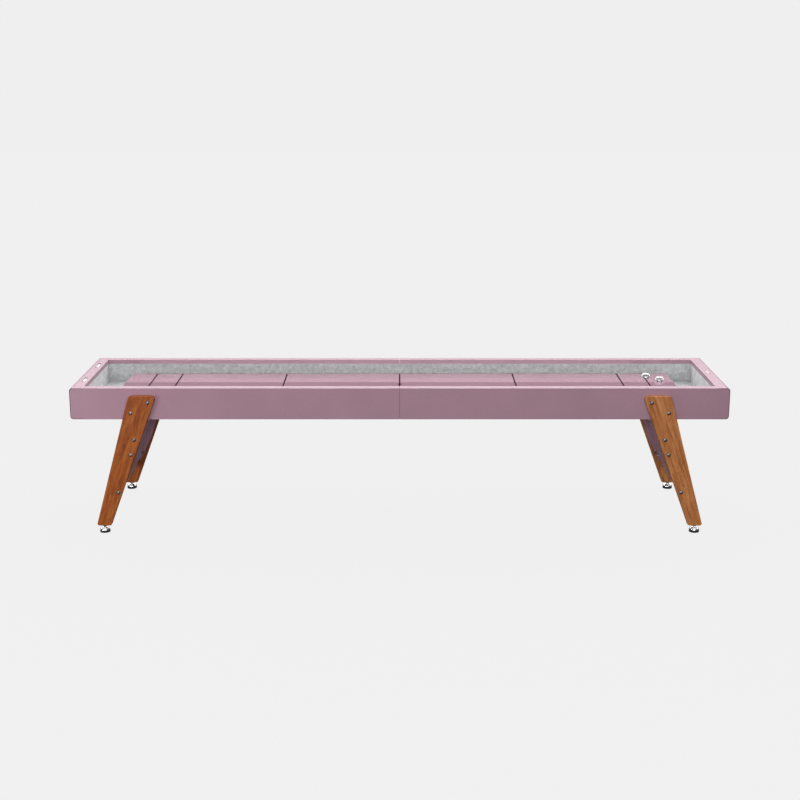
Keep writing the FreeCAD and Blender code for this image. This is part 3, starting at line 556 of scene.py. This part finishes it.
def drumShape(half):
    edge = drum["radius"]
    profile = [(drum["bore"], -half)] + arc((edge - 1, -half + 1), 1, -90, 0, 4)
    for at in sorted(end * (half - 3.5 - 2.4 * i) for end in (-1, 1) for i in range(drum["ribs"])):
        profile += [(edge, at - 0.8), (edge - 0.5, at - 0.4), (edge - 0.5, at + 0.4), (edge, at + 0.8)]
    profile += arc((edge - 1, half - 1), 1, 0, 90, 4) + [(drum["bore"], half), (drum["bore"], -half)]
    shape = lathe(profile, 96)
    bmesh.ops.rotate(shape, verts=shape.verts, matrix=Matrix.Rotation(math.radians(-90), 3, "X"))
    return shape


def digitShape(text, station):
    # a number wrapped round the drum, its top towards the end of the table
    curve = bpy.data.curves.new("digit", "FONT")
    curve.body = text
    curve.size = drum["digitHigh"] * 1.4 * mm
    curve.align_x = "CENTER"
    curve.align_y = "CENTER"
    holder = bpy.data.objects.new("digit", curve)
    bpy.context.scene.collection.objects.link(holder)
    flat = bpy.data.meshes.new_from_object(holder)
    bpy.data.objects.remove(holder)
    shape = bmesh.new()
    shape.from_mesh(flat)
    bpy.data.meshes.remove(flat)
    bmesh.ops.triangulate(shape, faces=shape.faces)
    bmesh.ops.subdivide_edges(shape, edges=shape.edges, cuts=2)
    reach = (drum["radius"] + drum["inkThick"]) * mm
    turn = station * math.tau / drum["stations"]
    for point in shape.verts:
        across, up = point.co.x, point.co.y
        angle = turn + up / reach
        point.co = (-math.sin(angle) * reach, -across, math.cos(angle) * reach)
    bmesh.ops.reverse_faces(shape, faces=shape.faces)
    return shape


for name in sides:
    low, high = (Vector(v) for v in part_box(f"score_roller_{name}"))
    centre = (low + high) / 2
    whole = drumShape((high.y - low.y) / 2 / mm)
    bmesh.ops.translate(whole, verts=whole.verts, vec=centre)
    body = f"score_roller_{name}"
    finishPiece(f"drum_{name}", whole, acetal, body, [body])
    numbers = bmesh.new()
    for station in range(drum["stations"]):
        single = digitShape(str(station), station)
        addCopy(numbers, single, Matrix.Translation(centre))
        single.free()
    finishPiece(f"numbers_{name}", numbers, ink, body)
print("pieces made")

# an even pale room: one soft sky in front, a bright one behind, and a floor of the backdrop's tone
room = {"backdrop": "#EFEFEF", "floor": "#1C1C1C", "floorSize": 60.0, "floorGlow": 0.985,
        "frontSky": [(0.0, 0.1), (0.4, 0.08), (0.52, 0.05), (0.67, 0.12), (0.75, 0.3), (1.0, 1.2)],
        "rearSky": [(0.0, 0.1), (0.4, 0.06), (0.6, 0.07), (0.645, 0.07), (0.664, 4.2), (0.8, 3.2),
                    (1.0, 3.0)]}
softboxes = {"frontSoftbox": {"place": (0, -10, 3.1), "aim": (0, 0, 0.8), "size": (9, 2.2), "power": 590},
             "leftSoftbox": {"place": (-3.7, -3.0, 0.35), "aim": (-2.0, -0.4, 0.7), "size": (0.9, 0.9),
                             "power": 43}}
world = bpy.data.worlds.new("studio")
bpy.context.scene.world = world
world.use_nodes = True
world.node_tree.nodes.clear()
direction = addNode(world, "ShaderNodeTexCoord").outputs["Generated"]
parts = addNode(world, "ShaderNodeSeparateXYZ", {"Vector": direction})
heightRange = {"Value": parts.outputs["Z"], "From Min": -1.0, "From Max": 1.0}
level = addNode(world, "ShaderNodeMapRange", heightRange).outputs["Result"]
behindRange = {"Value": parts.outputs["Y"], "From Min": -0.15, "From Max": 0.35}
behind = addNode(world, "ShaderNodeMapRange", behindRange).outputs["Result"]


def skyRamp(stops):
    # brightness by height, from straight down at 0 to straight up at 1
    ramp = addNode(world, "ShaderNodeValToRGB", {"Fac": level})
    while len(ramp.color_ramp.elements) < len(stops):
        ramp.color_ramp.elements.new(0.5)
    for element, (position, strength) in zip(ramp.color_ramp.elements, stops):
        element.position = position
        element.color = (strength, strength, strength, 1)
    return ramp.outputs["Color"]


frontSky = skyRamp(room["frontSky"])
rearSky = skyRamp(room["rearSky"])
sky = addNode(world, "ShaderNodeMix", {"Factor": behind, "A": frontSky, "B": rearSky}, data_type="RGBA")
lighting = addNode(world, "ShaderNodeBackground", {"Color": sky.outputs["Result"], "Strength": 1.0})
seen = addNode(world, "ShaderNodeBackground", {"Color": colour(room["backdrop"]), "Strength": 1.0})
isCamera = addNode(world, "ShaderNodeLightPath").outputs["Is Camera Ray"]
blend = addNode(world, "ShaderNodeMixShader", {"Fac": isCamera})
world.node_tree.links.new(lighting.outputs["Background"], blend.inputs[1])
world.node_tree.links.new(seen.outputs["Background"], blend.inputs[2])
addNode(world, "ShaderNodeOutputWorld", {"Surface": blend.outputs["Shader"]})


def areaLight(name, place, aim, size, power):
    data = bpy.data.lights.new(name, "AREA")
    data.shape = "RECTANGLE"
    data.size, data.size_y = size
    data.energy = power
    light = bpy.data.objects.new(name, data)
    light.location = place
    light.rotation_euler = (Vector(aim) - Vector(place)).to_track_quat("-Z", "Y").to_euler()
    light.visible_camera = False
    bpy.context.scene.collection.objects.link(light)


for name, box in softboxes.items():
    areaLight(name, box["place"], box["aim"], box["size"], box["power"])

# the floor shines with the backdrop's tone, and neither lights the table nor shows in it
floorMesh = bmesh.new()
bmesh.ops.create_grid(floorMesh, x_segments=1, y_segments=1, size=room["floorSize"] / 2)
floorData = bpy.data.meshes.new("floor")
floorMesh.to_mesh(floorData)
floor = bpy.data.objects.new("floor", floorData)
bpy.context.scene.collection.objects.link(floor)
floorMaterial, floorShader = startMaterial("pale painted floor", Roughness=0.9)
floorShader.inputs["Base Color"].default_value = colour(room["floor"])
floorShader.inputs["Specular IOR Level"].default_value = 0.0
floorShader.inputs["Emission Color"].default_value = colour(room["backdrop"])
floorShader.inputs["Emission Strength"].default_value = room["floorGlow"]
floorData.materials.append(floorMaterial)
floor.visible_diffuse = False
floor.visible_glossy = False

bpy.context.scene.view_settings.view_transform = "Standard"
bpy.context.scene.view_settings.look = "None"
print("room lit")
